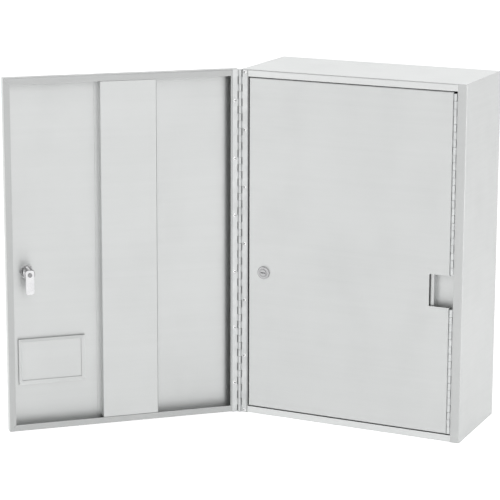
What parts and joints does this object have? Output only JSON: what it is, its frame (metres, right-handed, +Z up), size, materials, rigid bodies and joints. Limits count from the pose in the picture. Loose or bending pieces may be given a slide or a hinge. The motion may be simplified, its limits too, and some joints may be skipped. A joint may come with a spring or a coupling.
{
  "type": "double-door wall cabinet",
  "caption": "Stainless steel wall cabinet with an inner and an outer locking door, each on a continuous hinge, and lift-out shelves.",
  "frame": {"origin": "middle of the base, on the surface that the cabinet can stand on", "axes": "+X to the right across the front, +Y towards the wall, +Z up"},
  "size_m": [0.7235, 0.45, 0.61],
  "materials": {
    "satin_steel": "satin brushed stainless steel",
    "hinge_steel": "plain rolled stainless steel",
    "pin_steel": "drawn steel wire and rod",
    "rivet_metal": "bright formed rivet",
    "lock_chrome": "polished plate",
    "cam_chrome": "bright zinc plate"
  },
  "bodies": {
    "cabinet": {"left_side": "satin_steel", "right_side": "satin_steel", "top_panel": "satin_steel", "bottom_panel": "satin_steel", "back_panel": "satin_steel", "lock_guard": "satin_steel", "shelf_pegs": "pin_steel", "outer_hinge_frame_leaf": "hinge_steel", "outer_hinge_pin": "pin_steel", "frame_rivets": "rivet_metal", "inner_hinge_frame_leaf": "hinge_steel", "inner_hinge_pins": "pin_steel"},
    "outer_door_body": {"outer_door": "satin_steel", "door_rib": "satin_steel", "card_holder": "satin_steel", "outer_hinge_door_leaf": "hinge_steel", "door_rivets": "rivet_metal", "outer_lock_body": "lock_chrome", "outer_lock_nut": "lock_chrome"},
    "outer_lock_turning": {"outer_lock_plug": "lock_chrome", "outer_lock_cam": "cam_chrome", "outer_lock_screw": "cam_chrome"},
    "inner_door_body": {"inner_door": "satin_steel", "inner_hinge_door_leaf": "hinge_steel", "inner_lock_body": "lock_chrome", "inner_lock_nut": "lock_chrome"},
    "inner_lock_turning": {"inner_lock_plug": "lock_chrome", "inner_lock_cam": "cam_chrome", "inner_lock_screw": "cam_chrome"},
    "upper_shelf": {"shelf_upper": "satin_steel"},
    "middle_shelf": {"shelf_middle": "satin_steel"},
    "lower_shelf": {"shelf_lower": "satin_steel"}
  },
  "joints": [
    {"name": "outer_door_swing", "type": "hinge", "parent": "cabinet", "child": "outer_door_body", "pos_m": [-0.204, -0.0914, 0.305], "axis": [0, 0, -1], "range_deg": [-138, 40]},
    {"name": "inner_door_swing", "type": "hinge", "parent": "cabinet", "child": "inner_door_body", "pos_m": [0.1839, -0.0896, 0.305], "axis": [0, 0, 1], "range_deg": [0, 170]},
    {"name": "outer_lock_turn", "type": "hinge", "parent": "outer_door_body", "child": "outer_lock_turning", "pos_m": [-0.49395, -0.32233, 0.276], "axis": [-0.6691, 0.7431, 0], "range_deg": [0, 90]},
    {"name": "inner_lock_turn", "type": "hinge", "parent": "inner_door_body", "child": "inner_lock_turning", "pos_m": [-0.159, -0.089, 0.257], "axis": [0, 1, 0], "range_deg": [0, 90]},
    {"name": "upper_shelf_lift", "type": "slide", "parent": "cabinet", "child": "upper_shelf", "axis": [0, 0, 1], "range_m": [0, 0.02]},
    {"name": "middle_shelf_lift", "type": "slide", "parent": "cabinet", "child": "middle_shelf", "axis": [0, 0, 1], "range_m": [0, 0.02]},
    {"name": "lower_shelf_lift", "type": "slide", "parent": "cabinet", "child": "lower_shelf", "axis": [0, 0, 1], "range_m": [0, 0.02]}
  ]
}
